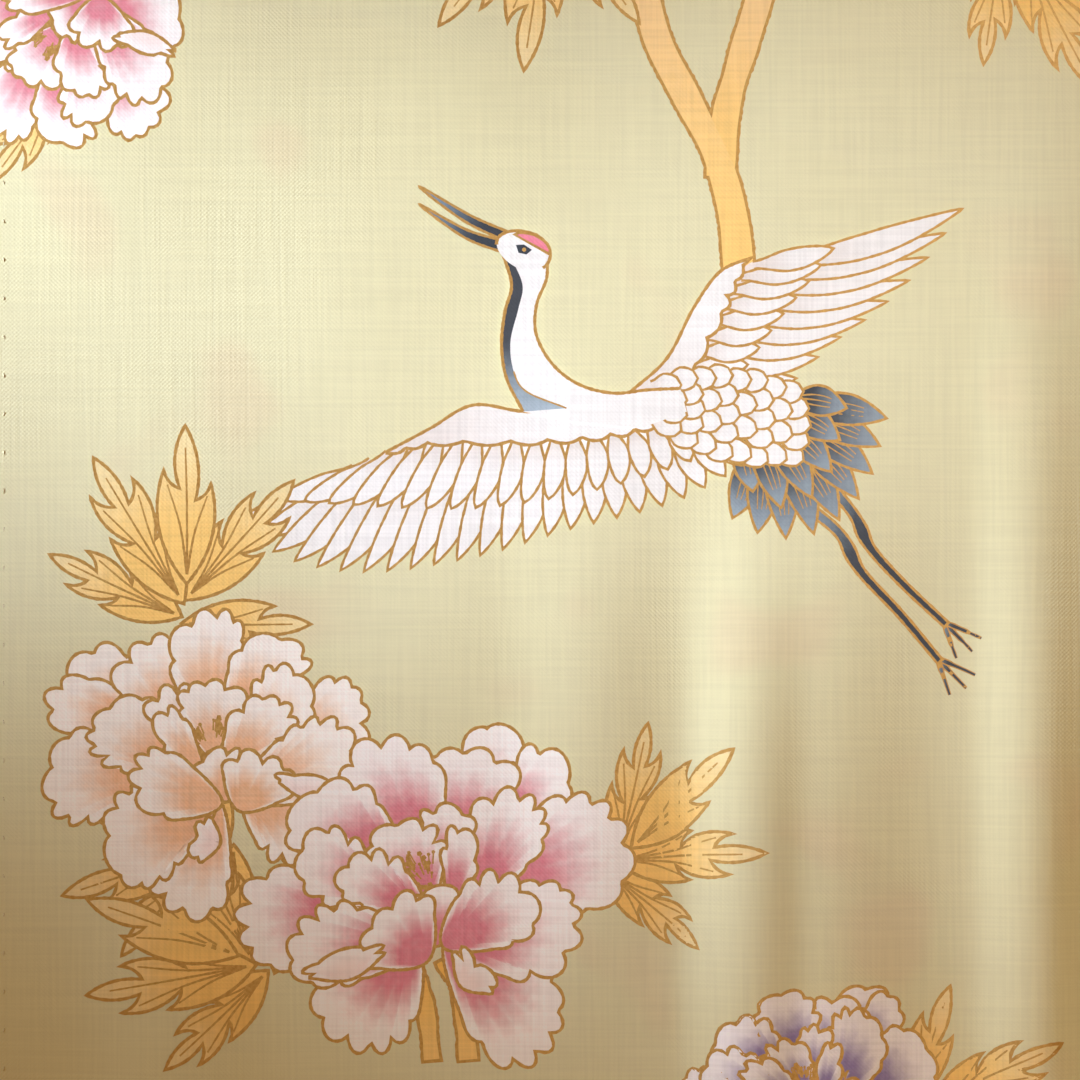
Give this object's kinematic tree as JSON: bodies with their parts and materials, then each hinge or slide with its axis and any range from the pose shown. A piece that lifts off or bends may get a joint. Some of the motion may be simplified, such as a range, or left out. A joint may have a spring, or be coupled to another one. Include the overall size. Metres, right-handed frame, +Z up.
{
  "type": "cotton yukata laid flat",
  "caption": "Women's cotton yukata laid flat and face up, left front lapped over right, wide square sleeves, long collar band and soft folds.",
  "frame": {"origin": "on the surface it lies on, under the middle of the laid-out garment", "axes": "+Z up out of the cloth's face, +Y towards the collar, +X towards the wearer's left sleeve"},
  "size_m": [1.34, 1.688, 0.0103],
  "materials": {
    "cotton": "plain weave, matt, printed",
    "band_cotton": "plain weave, matt, folded double"
  },
  "bodies": {
    "root": {"body_left": "cotton", "body_right": "cotton", "overlap_left": "cotton", "overlap_right": "cotton", "sleeve_left": "cotton", "sleeve_right": "cotton", "collar_band": "band_cotton", "collar_cover": "band_cotton"}
  },
  "joints": []
}
